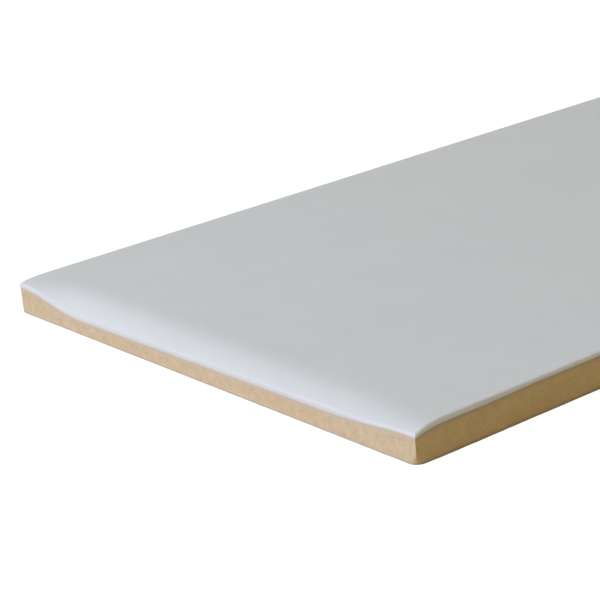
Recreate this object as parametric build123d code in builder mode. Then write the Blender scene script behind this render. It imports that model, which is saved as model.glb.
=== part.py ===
from build123d import *
from math import atan, cos, pi, tan
import os

# Glazed wall tile, pressed and fired as one piece, lying flat with its glaze up.
# Millimetres. X runs along the tile, Y across it, Z up from the lands of its back.

# Overall size
length = 200.0
width = 100.0
thickness = 6.0

# Soft roll of the face down to each short end, deeper from the first long side to the last
end_roll = 8.0
first_drop = 1.6
last_drop = 2.8

# The roll eases off towards the corners of a short end, and is narrow where it is shallow
narrow_roll = 1.0
full_roll_drop = 2.2
first_corner_drop = 0.85
first_corner_reach = 14.5
last_corner_drop = 0.25
last_corner_reach = 15.5
last_corner_land = 2.5

# Tight edge all round the face, and the lip of glaze that hangs below it
edge_radius = 0.4
lip = 0.62

# The bare body is set back beneath the lip by the thickness of the glaze
glaze_coat = 0.15

# Upright corners, nearly sharp above and worn round towards the back
corner_radius = 0.3
foot_radius = 1.0
foot_height = 1.8

# Small arris round the back
back_arris = 0.2

# Shallow keying pockets pressed into the back, with flush lands between them
pockets_long = 8
pockets_across = 4
back_border = 6.0
land = 4.0
pocket_depth = 0.4
pocket_radius = 1.5
pocket_taper = 20.0

# Sections drawn in each stretch across the tile, and how far they run past its sides
first_sections = 5
middle_sections = 4
last_sections = 6
overrun = 1.0

half_length = length / 2
half_width = width / 2


def ease(share):
    """A smooth rise from 0 to 1 as the share goes from 0 to 1."""
    return (1 - cos(pi * min(max(share, 0.0), 1.0))) / 2


def drop(y):
    """How far the face has fallen where it would meet a short end."""
    across = y + half_width
    middle = first_drop + (last_drop - first_drop) * across / width
    first = ease(across / first_corner_reach)
    last = ease((width - last_corner_land - across) / last_corner_reach)
    corners = first_corner_drop * (1 - first) + last_corner_drop * (1 - last)
    return middle * first * last + corners


def roll(y):
    """How far in from a short end the roll starts."""
    return narrow_roll + (end_roll - narrow_roll) * ease(drop(y) / full_roll_drop)


def lip_height(y):
    """Height of the glaze's lower edge on a short end, below the tight edge."""
    # The roll ends three times as steep as its mean slope, being a cubic
    slope = atan(3 * drop(y) / roll(y))
    tangent_length = edge_radius * tan(pi / 4 - slope / 2)
    return thickness - drop(y) - tangent_length - lip


def fall_points(reach, end, level, low):
    """Control points of a cubic fall to one short end, level at its start, steepest last."""
    start = half_length - reach
    points = [(end * (start + reach * step / 3), level) for step in range(3)]
    return points + [(end * half_length, low)]


first_end = -half_width + first_corner_reach
last_end = half_width - last_corner_land
last_start = last_end - last_corner_reach
middle_step = (last_start - first_end) / middle_sections
sections = [-half_width - overrun]
sections += [-half_width + first_corner_reach * i / first_sections for i in range(first_sections)]
sections += [first_end + middle_step * i for i in range(middle_sections)]
sections += [last_start + last_corner_reach * i / last_sections for i in range(last_sections + 1)]
sections += [half_width, half_width + overrun]

# The pressed shape, drawn from end to end at each section and joined smoothly
with BuildPart() as blank:
    for y in sections:
        with BuildSketch(Plane.XZ.offset(-y)):
            with BuildLine():
                end_height = thickness - drop(y)
                left, right = [fall_points(roll(y), end, thickness, end_height) for end in (-1, 1)]
                Line((-half_length, 0), (half_length, 0))
                Line((half_length, 0), right[-1])
                Bezier(*right)
                Line(right[0], left[0])
                Bezier(*left)
                Line(left[-1], (-half_length, 0))
            make_face()
    loft()

# The outline from above, with its lower corners worn round
with BuildPart() as outline:
    with BuildSketch(Plane.XY):
        RectangleRounded(length, width, foot_radius)
    with BuildSketch(Plane.XY.offset(foot_height)):
        RectangleRounded(length, width, corner_radius)
    loft()
    with BuildSketch(Plane.XY.offset(foot_height)):
        RectangleRounded(length, width, corner_radius)
    extrude(amount=thickness)

with BuildPart() as tile:
    # Sides trimmed square, and the tight edge run all round the face
    add(blank.part)
    with BuildSketch(Plane.XY):
        Rectangle(length, width)
    extrude(amount=thickness, mode=Mode.INTERSECT)
    walls = tile.faces().filter_by(lambda face: abs(face.normal_at().Z) < 0.1)
    rim = walls.edges().filter_by(lambda edge: edge.bounding_box().min.Z > foot_height)
    fillet(rim, radius=edge_radius)
    add(outline.part, mode=Mode.INTERSECT)

    # Bare body set back on both short ends, up to the wavy lip of the glaze
    for end in (-1, 1):
        with BuildSketch(Plane.YZ.offset(end * (half_length - glaze_coat))):
            with BuildLine():
                lip_line = [(y, lip_height(y)) for y in sections]
                first_foot = (-half_width - overrun, -overrun)
                last_foot = (half_width + overrun, -overrun)
                Spline(lip_line)
                Polyline(lip_line[-1], last_foot, first_foot, lip_line[0])
            make_face()
        extrude(amount=end * (glaze_coat + overrun), mode=Mode.SUBTRACT)

    # Bare body set back on both long sides, where the lip droops at the corners
    for side in (-1, 1):
        y = side * half_width
        level = thickness - edge_radius - lip
        left, right = [fall_points(roll(y), end, level, lip_height(y)) for end in (-1, 1)]
        with BuildSketch(Plane.XZ.offset(-side * (half_width - glaze_coat))):
            with BuildLine():
                Bezier(*right)
                Line(right[0], left[0])
                Bezier(*left)
                Polyline(left[-1], (-half_length, -overrun), (half_length, -overrun), right[-1])
            make_face()
        extrude(amount=-side * (glaze_coat + overrun), mode=Mode.SUBTRACT)

    # Arris round the back
    back = tile.faces().sort_by(Axis.Z)[0]
    chamfer(back.outer_wire().edges(), length=back_arris)

    # Keying pockets with sloping sides
    pocket_length = (length - 2 * back_border - (pockets_long - 1) * land) / pockets_long
    pocket_width = (width - 2 * back_border - (pockets_across - 1) * land) / pockets_across
    with BuildSketch(Plane.XY):
        with GridLocations(pocket_length + land, pocket_width + land, pockets_long, pockets_across):
            RectangleRounded(pocket_length, pocket_width, pocket_radius)
    extrude(amount=pocket_depth, taper=pocket_taper, mode=Mode.SUBTRACT)

tile.part.label = "tile"
os.makedirs("parts", exist_ok=True)
export_step(tile.part, "parts/tile.step")
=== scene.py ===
import math

import bmesh
import bpy
from mathutils import Matrix, Vector, noise
from mathutils.geometry import delaunay_2d_cdt


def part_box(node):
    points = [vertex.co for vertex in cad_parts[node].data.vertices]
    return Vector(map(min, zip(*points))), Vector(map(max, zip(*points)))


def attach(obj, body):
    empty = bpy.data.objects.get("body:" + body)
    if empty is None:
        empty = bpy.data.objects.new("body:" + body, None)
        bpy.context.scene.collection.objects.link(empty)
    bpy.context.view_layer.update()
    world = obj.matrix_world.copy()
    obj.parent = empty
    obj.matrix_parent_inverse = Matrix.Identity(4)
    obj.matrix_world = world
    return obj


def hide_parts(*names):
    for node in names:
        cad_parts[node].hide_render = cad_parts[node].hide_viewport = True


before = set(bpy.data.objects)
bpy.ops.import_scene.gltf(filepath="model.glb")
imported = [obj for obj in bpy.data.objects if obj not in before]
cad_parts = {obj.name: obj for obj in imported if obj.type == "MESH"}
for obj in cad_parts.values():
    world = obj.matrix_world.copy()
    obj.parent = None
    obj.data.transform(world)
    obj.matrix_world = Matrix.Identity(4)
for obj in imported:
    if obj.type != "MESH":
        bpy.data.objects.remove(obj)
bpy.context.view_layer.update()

# A ceramic wall tile with a satin white glazed face over a bare buff body, lying on its back.
# Metres throughout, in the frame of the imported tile: X along it, Y across it, Z up. The first
# long side is the one at -Y, which the photograph shows, and the last is the one at +Y.
MM = 0.001
tile_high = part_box("tile")[1]
HALF_LENGTH = tile_high.x
HALF_WIDTH = tile_high.y
THICKNESS = tile_high.z

# Soft roll of the face down to each short end. It is the solid's, but wider at the corners, and
# deeper at those of the last long side, so that the face bends there as gently as the real one.
FIRST_DROP = 1.6 * MM
LAST_DROP = 2.8 * MM
FIRST_CORNER_DROP = 0.85 * MM
FIRST_CORNER_REACH = 14.5 * MM
LAST_CORNER_DROP = 0.45 * MM
LAST_CORNER_REACH = 17.5 * MM
LAST_CORNER_LAND = 0.5 * MM

# Its width grows from the first of these to the second, as its drop grows to the third
NARROW_ROLL = 6.0 * MM
END_ROLL = 8.0 * MM
FULL_ROLL_DROP = 2.2 * MM

# The roll falls as a cubic, so that where it ends, its slope is three times its mean one
ROLL_POWER = 3

# Softer edge of the face on a short end, close to the first long side
SOFT_DROP = 0.25 * MM
SOFT_WIDTH = 3.6 * MM
SOFT_REACH = 16.0 * MM

# Tight edge all round the face
EDGE_RADIUS = 0.4 * MM

# Height of the lip of glaze on the short ends, and where it gets shorter on them, measured from
# the middle of the tile towards the first long side
END_LIP = 0.62 * MM
CORNER_LIP = 0.42 * MM
CORNER_LIP_START = 31.0 * MM
CORNER_LIP_END = 38.0 * MM

# Its height on the long sides, and where it gets down to that, measured from a short end
SIDE_LIP = 0.25 * MM
SIDE_LIP_START = 12.0 * MM
SIDE_LIP_END = 26.0 * MM

# How far the lip stands out from the body, and how much longer it gets as it wanders
LIP_PROUD = 0.05 * MM
LIP_WANDER = 0.08 * MM
LIP_WANDER_LENGTH = 3.2 * MM

# Wide hollows in the face
FACE_WAVE = 0.035 * MM
FACE_WAVE_LENGTH = 24.0 * MM

# Roughness of the bare body, which pushes in the points that are this near to a side
BODY_GRAIN = 0.03 * MM
BODY_GRAIN_LENGTH = 1.7 * MM
BODY_GRAIN_BAND = 1.0 * MM

# Upright corners, crisp above. Below the foot's height each is worn round by its own radius,
# which is listed by whether its X and its Y are above 0.
UPRIGHT_RADIUS = 0.1 * MM
FOOT_HEIGHT = 1.8 * MM
FOOT_RADII = {
    (False, False): 1.6 * MM,
    (False, True): 0.3 * MM,
    (True, False): 0.7 * MM,
    (True, True): 0.9 * MM,
}

# Worn arris round the back, smaller on the long sides
END_ARRIS = 0.2 * MM
SIDE_ARRIS = 0.06 * MM
SIDE_ARRIS_REACH = 6.0 * MM
ARRIS_WANDER = 0.1 * MM
ARRIS_WANDER_LENGTH = 2.4 * MM

# Which part of the noise each kind of unevenness is read from
FACE_SEED = 1.0
LIP_SEED = 5.0
ARRIS_SEED = 7.0
GRAIN_SEED = 9.0
SEED_STEP = (1.0, 2.3, 3.7)

# Keying pockets of the back, as the tile's solid has them
POCKETS_LONG = 8
POCKETS_ACROSS = 4
BACK_BORDER = 6.0 * MM
LAND = 4.0 * MM
POCKET_DEPTH = 0.4 * MM
POCKET_RADIUS = 1.5 * MM
POCKET_TAPER = math.radians(20)

# Fineness of the mesh
EDGE_STEPS = 8
ROLL_STEPS = 26
FLAT_STEP = 0.8 * MM
SIDE_FINE_WIDTH = 12.0 * MM
SIDE_FINE_STEPS = 20
WALL_STEPS = 18
POCKET_CORNER_STEPS = 6

# Points of the back nearer than this count as one
LEAST_GAP = 0.00001 * MM

# Edges that turn by more than this are shaded as sharp ones
SHARP_ANGLE = math.radians(40)

# The mesh marks how close it is to the lower edge of the glaze: 1 at that edge, and 0 from this
# share of the lip above it and from this distance below it, where it sets a painted shade under
# the lip
GLAZE_LINE = "glaze_line"
THIN_SHARE = 0.75
LIP_SHADE_REACH = 0.7 * MM

# It also marks how close it is to the foot, for a painted shade there: 1 at the foot, and 0 from
# this height
FOOT_LINE = "foot_line"
FOOT_SHADE_REACH = 0.5 * MM

# Colours of the glaze and of the body
GLAZE_WHITE = (0.705, 0.725, 0.72, 1)
GLAZE_CLOUD = (0.69, 0.712, 0.708, 1)
GLAZE_THIN = (0.70, 0.61, 0.46, 1)
GLAZE_PINHOLE = (0.40, 0.39, 0.36, 1)
BODY_BUFF = (0.715, 0.581, 0.377, 1)
# The long sides' brown is partly their own colour and partly painted shade
BODY_BROWN_AND_SHADE = (0.67, 0.485, 0.224, 1)
BODY_WARM = (0.70, 0.49, 0.27, 1)
BODY_PALE = (0.64, 0.55, 0.31, 1)
BODY_SPECK = (0.30, 0.21, 0.12, 1)
# Painted shade under the lip of glaze and along the foot, on the short ends and on the long sides
END_LIP_SHADE = (0.60, 0.53, 0.42, 1)
SIDE_LIP_SHADE = (0.44, 0.385, 0.27, 1)
END_FOOT_SHADE = (0.51, 0.46, 0.37, 1)
SIDE_FOOT_SHADE = (0.32, 0.25, 0.14, 1)

# Sizes of the glaze's marks, and how fast the body stops showing through above its lower edge
CLOUD_SIZE = 16.0 * MM
GLOSS_PATCH_SIZE = 6.0 * MM
RIPPLE_SIZE = 1.4 * MM
RIPPLE_DEPTH = 0.02 * MM
PINHOLE_SPACING = 5.0 * MM
PINHOLE_RADIUS = 0.18 * MM
THIN_POWER = 1.3

# Sizes of the body's marks, the most that each colours it, and how its painted shade under the
# glaze and along the foot fades
WARM_SIZE = 22.0 * MM
WARM_MOST = 0.4
PALE_SIZE = 2.6 * MM
PALE_MOST = 0.4
COARSE_SIZE = 1.3 * MM
FINE_SIZE = 0.32 * MM
GRAIN_MOST = 0.3
SPECK_SPACING = 1.1 * MM
SPECK_RADIUS = 0.16 * MM
SPECK_MOST = 0.4
PORE_SPACING = 0.9 * MM
PORE_RADIUS = 0.14 * MM
BODY_RELIEF = 0.03 * MM
PAINTED_SHADE_POWER = 0.7

# Gloss of the glaze and of the body alike
SPECULAR_LEVEL = 0.3

# The floor: how far it reaches, the colour that it throws back on the tile, and the glow and the
# grey that are seen of it
FLOOR_REACH = 20.0
FLOOR_BOUNCE = (0.62, 0.55, 0.45, 1)
FLOOR_GLOW = 0.93
FLOOR_GREY = (0.25, 0.25, 0.25, 1)

# The surround, and how brightly it lights the tile
WHITE = (1, 1, 1, 1)
WORLD_LIGHT = 0.2

# Soft boxes: name, place, point aimed at, size, watts and colour
LAMPS = (
    ("key", (-0.9, 0.1, 0.5), (-0.05, 0, 0), 0.6, 8.6, (0.80, 0.81, 1.0)),
    ("top", (-0.3, 0.4, 1.2), (0, 0, 0), 0.9, 2.33, (0.96, 1.0, 0.5)),
    ("side", (0, -1.2, 0.12), (0, 0, 0), 0.7, 2.8, (1.0, 0.77, 0.3)),
)


def ease(share):
    """A smooth rise from 0 to 1 as the share goes from 0 to 1."""
    return (1 - math.cos(math.pi * min(max(share, 0.0), 1.0))) / 2


def wander(point, length, depth, seed):
    """A smooth random depth from 0 to the one given, for a place on the tile."""
    away = Vector([seed * step for step in SEED_STEP])
    value = noise.noise(Vector(point) / length + away)
    return depth * (0.5 + 0.5 * value)


def drop(y):
    """How far the face has fallen where it would meet a short end."""
    across = y + HALF_WIDTH
    middle = FIRST_DROP + (LAST_DROP - FIRST_DROP) * across / (2 * HALF_WIDTH)
    first = ease(across / FIRST_CORNER_REACH)
    last = ease((2 * HALF_WIDTH - LAST_CORNER_LAND - across) / LAST_CORNER_REACH)
    corners = FIRST_CORNER_DROP * (1 - first) + LAST_CORNER_DROP * (1 - last)
    return middle * first * last + corners


def roll(y):
    """How far in from a short end the roll starts."""
    return NARROW_ROLL + (END_ROLL - NARROW_ROLL) * ease(drop(y) / FULL_ROLL_DROP)


def edge_depth(y):
    """How far the tight edge goes down a short end, below where the roll would meet it."""
    slope = math.atan(ROLL_POWER * drop(y) / roll(y))
    return EDGE_RADIUS * math.tan(math.pi / 4 - slope / 2)


def softening(x, y):
    """How far the face has fallen to its softer edge, on a short end by the first long side."""
    inward = HALF_LENGTH - abs(x)
    near = 1 - ease((HALF_WIDTH + y) / SOFT_REACH)
    return SOFT_DROP * near * max(1 - inward / SOFT_WIDTH, 0.0) ** ROLL_POWER


def face_height(x, y):
    """Height of the rolled face before its tight edge."""
    inward = HALF_LENGTH - abs(x)
    share = max(1 - inward / roll(y), 0.0)
    return THICKNESS - drop(y) * share**ROLL_POWER - softening(x, y)


def rounded(x, y, half_x, half_y, radius):
    """A point of a rectangle moved in, where it is near a corner, to round that corner."""
    u = abs(x) - (half_x - radius)
    v = abs(y) - (half_y - radius)
    if u <= 0 or v <= 0:
        return x, y
    scale = max(u, v) / math.hypot(u, v)
    return (
        math.copysign(half_x - radius + u * scale, x),
        math.copysign(half_y - radius + v * scale, y),
    )


def moved_in(corner, inset, radius):
    """A point of the square outline, moved in from the sides and rounded at the corners."""
    half_x = HALF_LENGTH - inset
    half_y = HALF_WIDTH - inset
    x = corner.x * half_x / HALF_LENGTH
    y = corner.y * half_y / HALF_WIDTH
    return rounded(x, y, half_x, half_y, radius)


def face_point(x, y):
    """A point of the glazed face, from its place on a grid with square corners."""
    u = abs(x) - (HALF_LENGTH - EDGE_RADIUS)
    v = abs(y) - (HALF_WIDTH - EDGE_RADIUS)
    over = max(u, v, 0.0) / EDGE_RADIUS
    depth = EDGE_RADIUS
    if u > 0:
        # Round a corner, the edge's depth turns from the short end's to the long side's
        share = u**2 / (u**2 + max(v, 0.0) ** 2)
        depth = edge_depth(y) * share + EDGE_RADIUS * (1 - share)
    x, y = rounded(x, y, HALF_LENGTH, HALF_WIDTH, UPRIGHT_RADIUS)
    height = face_height(x, y) - depth * (1 - math.sqrt(max(1 - over**2, 0.0)))
    height -= wander((x, y, 0), FACE_WAVE_LENGTH, FACE_WAVE, FACE_SEED) * (1 - over)
    return Vector((x, y, height))


def lip(corner):
    """Height of the lip of glaze at a place on the rim."""
    at_corner = ease((-corner.y - CORNER_LIP_START) / (CORNER_LIP_END - CORNER_LIP_START))
    end_lip = END_LIP + (CORNER_LIP - END_LIP) * at_corner
    inward = HALF_LENGTH - abs(corner.x)
    on_side = ease((inward - SIDE_LIP_START) / (SIDE_LIP_END - SIDE_LIP_START))
    height = end_lip + (SIDE_LIP - end_lip) * on_side
    height -= softening(corner.x, corner.y)
    return height + wander(corner.xy.to_3d(), LIP_WANDER_LENGTH, LIP_WANDER, LIP_SEED)


def arris(corner):
    """Height of the worn arris round the back at a place on the rim."""
    inward = HALF_LENGTH - abs(corner.x)
    height = END_ARRIS + (SIDE_ARRIS - END_ARRIS) * ease(inward / SIDE_ARRIS_REACH)
    return height + wander(corner, ARRIS_WANDER_LENGTH, ARRIS_WANDER, ARRIS_SEED)


def foot_radius(corner):
    """Radius of the worn corner at the back that is nearest to a place on the rim."""
    return FOOT_RADII[corner.x > 0, corner.y > 0]


def wall_point(corner, share):
    """A point of the bare wall, a share of the way from the lip to the arris of the back."""
    top = corner.z - lip(corner)
    foot = arris(corner)
    height = top + (foot - top) * share
    foot_share = max(1 - height / FOOT_HEIGHT, 0.0)
    radius = UPRIGHT_RADIUS + (foot_radius(corner) - UPRIGHT_RADIUS) * foot_share
    x, y = moved_in(corner, LIP_PROUD, radius)
    return Vector((x, y, height))


def roughened(point):
    """A point of the bare wall, pushed in by the roughness of the body."""
    depth = wander(point, BODY_GRAIN_LENGTH, BODY_GRAIN, GRAIN_SEED)
    x, y = point.x, point.y
    if abs(x) > HALF_LENGTH - BODY_GRAIN_BAND:
        x -= math.copysign(depth, x)
    if abs(y) > HALF_WIDTH - BODY_GRAIN_BAND:
        y -= math.copysign(depth, y)
    return Vector((x, y, point.z))


def spread(start, end, steps):
    """Places from the start to just before the end, evenly spaced."""
    return [start + (end - start) * i / steps for i in range(steps)]


def edge_places(half):
    """Places over a tight edge, from the wall inwards, crowded towards the wall."""
    angles = spread(math.pi / 2, 0.0, EDGE_STEPS)
    return [half - EDGE_RADIUS * (1 - math.sin(angle)) for angle in angles]


def mirrored(places):
    """A list of places from the outside in, made whole on both sides of the middle."""
    return [-place for place in places] + [0.0] + places[::-1]


def columns():
    """Places along the tile, closest together on the tight edges and the rolls."""
    places = edge_places(HALF_LENGTH)
    flat = HALF_LENGTH - END_ROLL
    places += spread(HALF_LENGTH - EDGE_RADIUS, flat, ROLL_STEPS)
    places += spread(flat, 0.0, round(flat / FLAT_STEP))
    return mirrored(places)


def rows():
    """Places across the tile, closest together on the tight edges and near the long sides."""
    places = edge_places(HALF_WIDTH)
    fine = HALF_WIDTH - SIDE_FINE_WIDTH
    places += spread(HALF_WIDTH - EDGE_RADIUS, fine, SIDE_FINE_STEPS)
    places += spread(fine, 0.0, round(fine / FLAT_STEP))
    return mirrored(places)


def pocket_row(half_tile, count):
    """Half a pocket's size in one direction, and the middles of the pockets along it."""
    size = (2 * half_tile - 2 * BACK_BORDER - (count - 1) * LAND) / count
    return size / 2, [(i - (count - 1) / 2) * (size + LAND) for i in range(count)]


def pocket_outline(centre_x, centre_y, half_x, half_y, radius):
    """The rounded rectangle of a pocket, anticlockwise."""
    outline = []
    for turn, (side_x, side_y) in enumerate(((1, 1), (-1, 1), (-1, -1), (1, -1))):
        for step in range(POCKET_CORNER_STEPS + 1):
            angle = math.pi / 2 * (turn + step / POCKET_CORNER_STEPS)
            x = centre_x + side_x * (half_x - radius) + radius * math.cos(angle)
            y = centre_y + side_y * (half_y - radius) + radius * math.sin(angle)
            outline.append((x, y))
    return outline


class TileMesh:
    """The whole tile as one closed mesh, its glaze on material 0 and its bare body on 1."""

    GLAZE = 0
    BODY = 1

    def __init__(self):
        self.mesh = bmesh.new()
        self.glaze_line = self.mesh.verts.layers.float.new(GLAZE_LINE)
        self.foot_line = self.mesh.verts.layers.float.new(FOOT_LINE)
        self.add_face()
        self.add_lip()
        self.add_wall()
        self.add_back()
        bmesh.ops.recalc_face_normals(self.mesh, faces=self.mesh.faces)

    def face(self, verts, material):
        """A new face of one of the two materials."""
        self.mesh.faces.new(verts).material_index = material

    def add_face(self):
        """The glazed face, down to the foot of its tight edge."""
        along, across = columns(), rows()
        grid = []
        for y in across:
            grid.append([self.mesh.verts.new(face_point(x, y)) for x in along])
        last_i, last_j = len(along) - 1, len(across) - 1
        for j in range(last_j):
            for i in range(last_i):
                corners = (grid[j][i], grid[j][i + 1], grid[j + 1][i + 1], grid[j + 1][i])
                self.face(corners, self.GLAZE)

        # Its rim, anticlockwise from the corner at -X and -Y, and the same with square corners
        places = [(0, i) for i in range(last_i)]
        places += [(j, last_i) for j in range(last_j)]
        places += [(last_j, i) for i in range(last_i, 0, -1)]
        places += [(j, 0) for j in range(last_j, 0, -1)]
        self.loop = [grid[j][i] for j, i in places]
        self.rim = [Vector((along[i], across[j], grid[j][i].co.z)) for j, i in places]

    def add_ring(self, points, material):
        """A new ring of vertices, joined to the last one by a band of faces."""
        ring = []
        for corner, point in zip(self.rim, points):
            vert = self.mesh.verts.new(point)
            above = point.z - (corner.z - lip(corner))
            reach = THIN_SHARE * lip(corner) if above > 0 else LIP_SHADE_REACH
            vert[self.glaze_line] = max(1 - abs(above) / reach, 0.0)
            vert[self.foot_line] = max(1 - point.z / FOOT_SHADE_REACH, 0.0)
            ring.append(vert)
        for k, vert in enumerate(self.loop):
            after = (k + 1) % len(self.loop)
            self.face((vert, ring[k], ring[after], self.loop[after]), material)
        self.loop = ring

    def add_lip(self):
        """The lip of glaze, which turns under to the body."""
        # How far down each ring is, as a share of the lip's height, how far in, as a share of
        # how far the lip stands out, and the material of the band above the ring
        lip_rings = (
            (0.35, 0.0, self.GLAZE),
            (0.65, 0.0, self.GLAZE),
            (0.85, 0.1, self.GLAZE),
            (1.0, 0.5, self.GLAZE),
            (0.96, 1.0, self.BODY),
        )
        for down, inward, material in lip_rings:
            points = []
            for corner in self.rim:
                x, y = moved_in(corner, LIP_PROUD * inward, UPRIGHT_RADIUS)
                points.append(Vector((x, y, corner.z - lip(corner) * down)))
            self.add_ring(points, material)

    def add_wall(self):
        """The bare wall, in rings that crowd towards both its ends, and the arris below it."""
        for step in range(1, WALL_STEPS + 1):
            share = ease(step / WALL_STEPS)
            points = [roughened(wall_point(corner, share)) for corner in self.rim]
            self.add_ring(points, self.BODY)

        # The arris ends as far in from the outline as it starts above the back
        points = []
        for corner, vert in zip(self.rim, self.loop):
            x, y = moved_in(corner, vert.co.z, foot_radius(corner))
            points.append(Vector((x, y, 0.0)))
        self.add_ring(points, self.BODY)

    def add_pocket(self, x, y, half_x, half_y):
        """A pocket's sloping sides and floor. Gives the vertices of its mouth."""
        slope = POCKET_DEPTH * math.tan(POCKET_TAPER)
        outer = pocket_outline(x, y, half_x, half_y, POCKET_RADIUS)
        inner = pocket_outline(x, y, half_x - slope, half_y - slope, POCKET_RADIUS - slope)
        mouth = [self.mesh.verts.new((px, py, 0.0)) for px, py in outer]
        floor = [self.mesh.verts.new((px, py, POCKET_DEPTH)) for px, py in inner]
        for k, vert in enumerate(mouth):
            after = (k + 1) % len(mouth)
            self.face((vert, mouth[after], floor[after], floor[k]), self.BODY)
        self.face(floor[::-1], self.BODY)
        return mouth

    def add_back(self):
        """The pockets of the back, and the flush lands round and between them."""
        half_x, middles_x = pocket_row(HALF_LENGTH, POCKETS_LONG)
        half_y, middles_y = pocket_row(HALF_WIDTH, POCKETS_ACROSS)
        rim_loop = 0
        loops = [self.loop]
        loops += [self.add_pocket(x, y, half_x, half_y) for x in middles_x for y in middles_y]

        # The lands are the triangles between these loops that don't lie inside one pocket
        verts, owners, edges = [], [], []
        for owner, loop in enumerate(loops):
            first = len(verts)
            verts += loop
            owners += [owner] * len(loop)
            edges += [(first + k, first + (k + 1) % len(loop)) for k in range(len(loop))]
        places = [vert.co.xy / MM for vert in verts]
        inside_outline = 1
        triangles = delaunay_2d_cdt(places, edges, [], inside_outline, LEAST_GAP / MM)[2]
        for triangle in triangles:
            touched = {owners[k] for k in triangle}
            if len(touched) > 1 or rim_loop in touched:
                self.face([verts[k] for k in triangle], self.BODY)


class Finish:
    """A new material's node tree, with short ways to add the nodes that the finishes need."""

    def __init__(self, name):
        self.material = bpy.data.materials.new(name)
        self.material.use_nodes = True
        self.nodes = self.material.node_tree.nodes
        self.links = self.material.node_tree.links
        self.shader = self.nodes["Principled BSDF"]
        self.place = self.nodes.new("ShaderNodeTexCoord")

    def feed(self, socket, value):
        """Give a socket a plain value, or the output of another node."""
        if isinstance(value, bpy.types.NodeSocket):
            self.links.new(value, socket)
        else:
            socket.default_value = value

    def set(self, name, value):
        """Give one of the shader's own sockets a value."""
        self.feed(self.shader.inputs[name], value)

    def noise(self, size, detail=2.0):
        """Cloudy noise about 0.5, with features of the size given."""
        node = self.nodes.new("ShaderNodeTexNoise")
        node.inputs["Scale"].default_value = 1 / size
        node.inputs["Detail"].default_value = detail
        self.links.new(self.place.outputs["Object"], node.inputs["Vector"])
        return node.outputs["Fac"]

    def spots(self, spacing, radius):
        """1 at the middle of scattered round spots, falling to 0 at their radius."""
        node = self.nodes.new("ShaderNodeTexVoronoi")
        node.inputs["Scale"].default_value = 1 / spacing
        self.links.new(self.place.outputs["Object"], node.inputs["Vector"])
        return self.between(node.outputs["Distance"], start=radius / spacing, end=0.0)

    def between(self, value, start, end, low=0.0, high=1.0):
        """A value that runs from start to end, spread from low to high and held there."""
        node = self.nodes.new("ShaderNodeMapRange")
        numbers = (value, start, end, low, high)
        for socket, number in zip(node.inputs, numbers):
            self.feed(socket, number)
        return node.outputs["Result"]

    def math(self, operation, *values):
        """A sum on numbers and sockets."""
        node = self.nodes.new("ShaderNodeMath")
        node.operation = operation
        for socket, value in zip(node.inputs, values):
            self.feed(socket, value)
        return node.outputs["Value"]

    def mix(self, share, first, second):
        """A colour part of the way from the first to the second."""
        node = self.nodes.new("ShaderNodeMix")
        node.data_type = "RGBA"
        colours = [socket for socket in node.inputs if socket.type == "RGBA"]
        self.feed(node.inputs["Factor"], share)
        self.feed(colours[0], first)
        self.feed(colours[1], second)
        return next(socket for socket in node.outputs if socket.type == "RGBA")

    def closeness(self, line):
        """How close the surface is to one of the lines that the mesh marks."""
        node = self.nodes.new("ShaderNodeAttribute")
        node.attribute_name = line
        return node.outputs["Fac"]

    def relief(self, height, depth):
        """Fine relief, in which a height of 1 stands out by the depth given."""
        node = self.nodes.new("ShaderNodeBump")
        node.inputs["Distance"].default_value = depth
        self.feed(node.inputs["Height"], height)
        self.set("Normal", node.outputs["Normal"])


def glaze_finish():
    """Satin white glaze: faint clouds, few pinholes, and the body warming it where it is thin."""
    finish = Finish("satin_glaze")
    clouds = finish.between(finish.noise(CLOUD_SIZE, detail=3.0), start=0.35, end=0.65)
    pinholes = finish.spots(PINHOLE_SPACING, PINHOLE_RADIUS)
    colour = finish.mix(clouds, GLAZE_WHITE, GLAZE_CLOUD)
    thin = finish.math("POWER", finish.closeness(GLAZE_LINE), THIN_POWER)
    colour = finish.mix(thin, colour, GLAZE_THIN)
    finish.set("Base Color", finish.mix(pinholes, colour, GLAZE_PINHOLE))
    gloss = finish.noise(GLOSS_PATCH_SIZE)
    finish.set("Roughness", finish.between(gloss, start=0.35, end=0.65, low=0.42, high=0.48))
    finish.set("Specular IOR Level", SPECULAR_LEVEL)

    # A faint ripple of the glaze, broken by the pinholes
    ripple = finish.noise(RIPPLE_SIZE)
    finish.relief(finish.math("SUBTRACT", ripple, pinholes), RIPPLE_DEPTH)
    return finish.material


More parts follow.
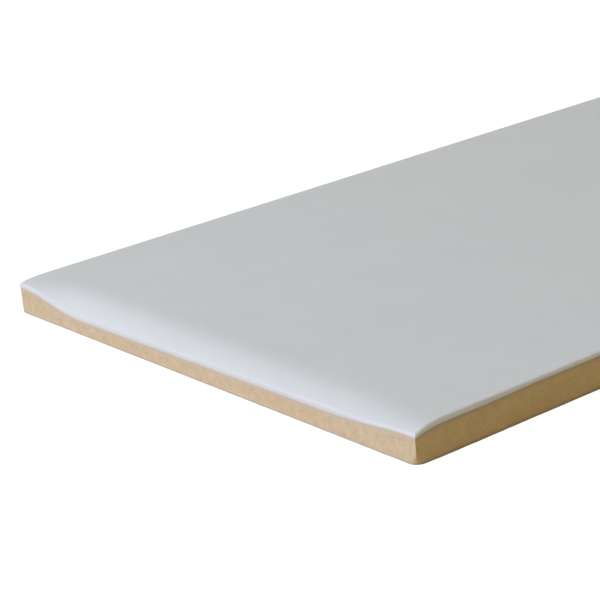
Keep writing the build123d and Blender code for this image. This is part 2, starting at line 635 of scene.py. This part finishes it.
def body_finish():
    """Bare pressed clay: buff, grainy and finely pored, browner on the long sides partly as
    painted shade.
    """
    finish = Finish("bare_body")
    normal = finish.nodes.new("ShaderNodeSeparateXYZ")
    finish.links.new(finish.place.outputs["Normal"], normal.inputs["Vector"])
    sideways = finish.math("ABSOLUTE", normal.outputs["Y"])
    # The long sides are browner, partly their own colour and partly painted shade
    long_side = finish.between(sideways, start=0.35, end=0.8)
    colour = finish.mix(long_side, BODY_BUFF, BODY_BROWN_AND_SHADE)
    warm = finish.noise(WARM_SIZE)
    warm = finish.between(warm, start=0.42, end=0.7, high=WARM_MOST)
    colour = finish.mix(warm, colour, BODY_WARM)
    pale = finish.noise(PALE_SIZE, detail=3.0)
    pale = finish.between(pale, start=0.4, end=0.68, high=PALE_MOST)
    colour = finish.mix(pale, colour, BODY_PALE)

    # Coarse and fine grain, specks and pores
    coarse = finish.noise(COARSE_SIZE, detail=3.0)
    fine = finish.noise(FINE_SIZE)
    grain = finish.math("MULTIPLY", finish.math("ADD", coarse, fine), 0.5)
    specks = finish.spots(SPECK_SPACING, SPECK_RADIUS)
    pores = finish.spots(PORE_SPACING, PORE_RADIUS)
    darker = finish.between(grain, start=0.35, end=0.65, high=GRAIN_MOST)
    colour = finish.mix(darker, colour, BODY_SPECK)
    colour = finish.mix(finish.math("MULTIPLY", specks, SPECK_MOST), colour, BODY_SPECK)

    # Painted shade just under the glaze and along the foot, greyer and most on the long sides
    lip_shade = finish.math("POWER", finish.closeness(GLAZE_LINE), PAINTED_SHADE_POWER)
    colour = finish.mix(lip_shade, colour, finish.mix(long_side, END_LIP_SHADE, SIDE_LIP_SHADE))
    foot_shade = finish.math("POWER", finish.closeness(FOOT_LINE), PAINTED_SHADE_POWER)
    colour = finish.mix(foot_shade, colour, finish.mix(long_side, END_FOOT_SHADE, SIDE_FOOT_SHADE))
    finish.set("Base Color", colour)
    finish.set("Roughness", finish.between(coarse, start=0.3, end=0.7, low=0.82, high=0.95))
    finish.set("Specular IOR Level", SPECULAR_LEVEL)
    finish.relief(finish.math("SUBTRACT", grain, pores), BODY_RELIEF)
    return finish.material


def add_tile():
    """The finished tile, in place of the plain solid."""
    mesh = TileMesh().mesh
    for face in mesh.faces:
        face.smooth = True
    data = bpy.data.meshes.new("glazed_tile")
    mesh.to_mesh(data)
    mesh.free()
    data.set_sharp_from_angle(angle=SHARP_ANGLE)
    tile = bpy.data.objects.new("glazed_tile", data)
    bpy.context.collection.objects.link(tile)
    data.materials.append(glaze_finish())
    data.materials.append(body_finish())
    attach(tile, "root")
    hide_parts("tile")


def seen_rays(nodes, links):
    """1 for a ray from the camera, or one that carries a reflection or goes through glass."""
    path = nodes.new("ShaderNodeLightPath")
    seen = path.outputs["Is Camera Ray"]
    for kind in ("Is Glossy Ray", "Is Transmission Ray"):
        either = nodes.new("ShaderNodeMath")
        either.operation = "MAXIMUM"
        links.new(seen, either.inputs[0])
        links.new(path.outputs[kind], either.inputs[1])
        seen = either.outputs[0]
    return seen


def add_floor():
    """A plain pale floor that the camera sees as white, apart from the tile's shadow."""
    reach = FLOOR_REACH
    corners = [(-reach, -reach, 0), (reach, -reach, 0), (reach, reach, 0), (-reach, reach, 0)]
    data = bpy.data.meshes.new("floor")
    data.from_pydata(corners, [], [(0, 1, 2, 3)])
    floor = bpy.data.objects.new("floor", data)
    bpy.context.collection.objects.link(floor)
    finish = Finish("pale_floor")
    finish.set("Base Color", FLOOR_BOUNCE)
    finish.set("Roughness", 1.0)
    finish.set("Specular IOR Level", 0.0)

    # What is seen: a nearly white glow, and added to it a grey that the shadow darkens
    glow = finish.nodes.new("ShaderNodeEmission")
    glow.inputs["Strength"].default_value = FLOOR_GLOW
    grey = finish.nodes.new("ShaderNodeBsdfDiffuse")
    grey.inputs["Color"].default_value = FLOOR_GREY
    both = finish.nodes.new("ShaderNodeAddShader")
    seen = finish.nodes.new("ShaderNodeMixShader")
    finish.links.new(glow.outputs[0], both.inputs[0])
    finish.links.new(grey.outputs[0], both.inputs[1])
    finish.links.new(seen_rays(finish.nodes, finish.links), seen.inputs[0])
    finish.links.new(finish.shader.outputs[0], seen.inputs[1])
    finish.links.new(both.outputs[0], seen.inputs[2])
    finish.links.new(seen.outputs[0], finish.nodes["Material Output"].inputs["Surface"])
    data.materials.append(finish.material)


def set_world():
    """A white surround, seen at full strength and lighting the tile at a softer one."""
    world = bpy.data.worlds.new("studio")
    bpy.context.scene.world = world
    world.use_nodes = True
    nodes = world.node_tree.nodes
    links = world.node_tree.links
    light = nodes["Background"]
    light.inputs["Color"].default_value = WHITE
    light.inputs["Strength"].default_value = WORLD_LIGHT
    seen = nodes.new("ShaderNodeBackground")
    seen.inputs["Color"].default_value = WHITE
    mix = nodes.new("ShaderNodeMixShader")
    links.new(seen_rays(nodes, links), mix.inputs[0])
    links.new(light.outputs[0], mix.inputs[1])
    links.new(seen.outputs[0], mix.inputs[2])
    links.new(mix.outputs[0], nodes["World Output"].inputs["Surface"])


def add_lamp(name, place, aim, size, watts, colour):
    """A square soft box aimed at a point."""
    data = bpy.data.lights.new(name, "AREA")
    data.size = size
    data.energy = watts
    data.color = colour
    lamp = bpy.data.objects.new(name, data)
    lamp.location = place
    lamp.rotation_euler = (Vector(aim) - Vector(place)).to_track_quat("-Z", "Y").to_euler()
    bpy.context.collection.objects.link(lamp)


def add_camera():
    """The photograph's view, from low beyond the corner at -X and -Y, tilted a little."""
    aim = Vector((-0.0762, 0.0032, THICKNESS))
    azimuth = math.radians(51.77)
    elevation = math.radians(19.525)
    distance = 0.3577
    tilt = math.radians(4.73)
    forward = Vector(
        (
            math.cos(azimuth) * math.cos(elevation),
            math.sin(azimuth) * math.cos(elevation),
            -math.sin(elevation),
        )
    )
    data = bpy.data.cameras.new("camera")
    data.sensor_width = 36
    data.lens = 132.65
    data.clip_start = 0.01
    camera = bpy.data.objects.new("camera", data)
    turn = Matrix.Rotation(tilt, 4, forward)
    aimed = forward.to_track_quat("-Z", "Y").to_matrix().to_4x4()
    camera.matrix_world = Matrix.Translation(aim - forward * distance) @ turn @ aimed
    bpy.context.collection.objects.link(camera)
    bpy.context.scene.camera = camera


add_tile()
add_floor()
set_world()
for lamp_values in LAMPS:
    add_lamp(*lamp_values)
add_camera()
bpy.context.scene.view_settings.view_transform = "Standard"
